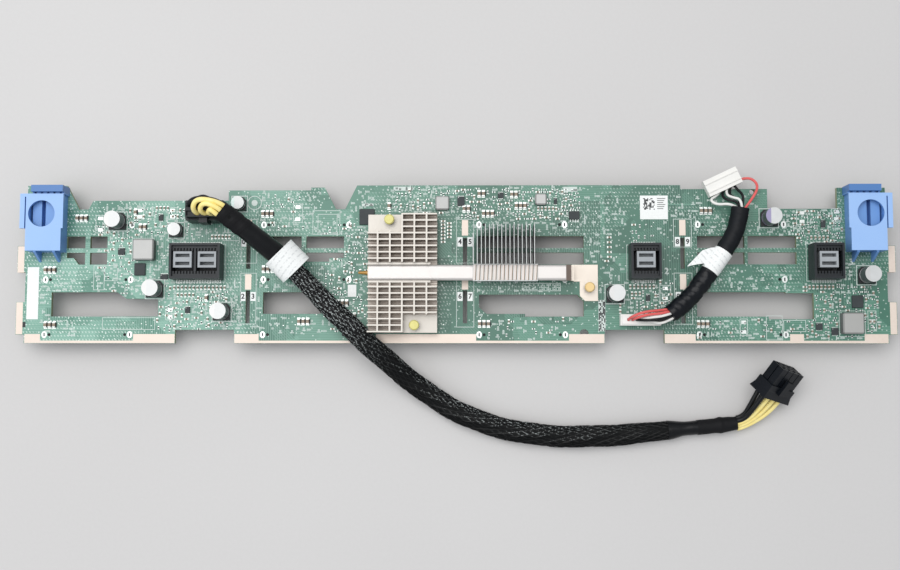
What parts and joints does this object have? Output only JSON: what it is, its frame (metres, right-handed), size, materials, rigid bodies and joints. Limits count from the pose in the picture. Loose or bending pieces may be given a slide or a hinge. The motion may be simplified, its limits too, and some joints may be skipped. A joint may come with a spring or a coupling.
{
  "type": "drive backplane board",
  "caption": "Long circuit board with upright drive sockets beneath, air windows, a finned heatsink with a side fin stack, cable ports, end latches and two loose cables.",
  "frame": {"origin": "under the middle of the board, on the surface that the drive sockets stand on", "axes": "+X along the board, +Y towards the edge with the release latches, +Z away from the drives"},
  "size_m": [0.4294, 0.1373, 0.042],
  "materials": {
    "board_green": "satin green solder mask over glass-fibre laminate",
    "socket_black": "matte moulded black",
    "chip_black": "matte moulded package",
    "pad_grey": "soft grey thermal pad",
    "sink_aluminium": "bead-blasted bare aluminium",
    "pipe_nickel": "nickel-plated copper, dull",
    "fin_aluminium": "bare stamped sheet",
    "bracket_steel": "plated sheet",
    "pin_yellow": "glossy yellow nylon",
    "spring_steel": "bright spring wire",
    "latch_blue": "satin moulded blue",
    "port_black": "matte moulded black",
    "wafer_grey": "dark moulded insert with contacts",
    "can_aluminium": "bright drawn can with a dark base",
    "coil_grey": "pressed iron powder, dark grey",
    "plug_black": "matte black nylon",
    "header_white": "natural white nylon",
    "sleeve_black": "black woven and shrink sleeve",
    "wire_cover": "soft wire insulation, yellow and black",
    "signal_wire": "thin wire insulation, red, white and black",
    "tape_black": "wrapped black tape",
    "label_paper": "white printed label"
  },
  "bodies": {
    "root": {"circuit_board": "board_green", "drive_socket_01": "socket_black", "drive_socket_02": "socket_black", "drive_socket_03": "socket_black", "drive_socket_04": "socket_black", "drive_socket_05": "socket_black", "drive_socket_06": "socket_black", "drive_socket_07": "socket_black", "drive_socket_08": "socket_black", "drive_socket_09": "socket_black", "drive_socket_10": "socket_black", "drive_socket_11": "socket_black", "drive_socket_12": "socket_black", "expander_chip": "chip_black", "thermal_pad": "pad_grey", "heatsink": "sink_aluminium", "heat_pipe": "pipe_nickel", "fin_stack": "fin_aluminium", "pipe_bracket": "bracket_steel", "push_pins": "pin_yellow", "push_pin_springs": "spring_steel", "latch_left": "latch_blue", "latch_right": "latch_blue", "dual_port_housing": "port_black", "dual_port_wafer_1": "wafer_grey", "dual_port_wafer_2": "wafer_grey", "port_housing_1": "port_black", "port_wafer_1": "wafer_grey", "port_housing_2": "port_black", "port_wafer_2": "wafer_grey", "capacitor_1": "can_aluminium", "capacitor_2": "can_aluminium", "capacitor_3": "can_aluminium", "capacitor_4": "can_aluminium", "capacitor_5": "can_aluminium", "capacitor_6": "can_aluminium", "capacitor_7": "can_aluminium", "capacitor_8": "can_aluminium", "inductor_1": "coil_grey", "inductor_2": "coil_grey", "inductor_3": "coil_grey", "inductor_4": "coil_grey", "regulator_chip_1": "chip_black", "regulator_chip_2": "chip_black", "controller_chip": "chip_black", "memory_chip": "chip_black", "power_header": "plug_black", "power_plug_near": "plug_black", "power_wires_near": "wire_cover", "power_sleeve": "sleeve_black", "power_wires_far": "wire_cover", "power_plug_far": "plug_black", "power_label": "label_paper", "signal_header": "header_white", "signal_plug_near": "header_white", "signal_wires_near": "signal_wire", "signal_bundle": "tape_black", "signal_wires_far": "signal_wire", "signal_plug_far": "header_white", "signal_label": "label_paper"}
  },
  "joints": []
}
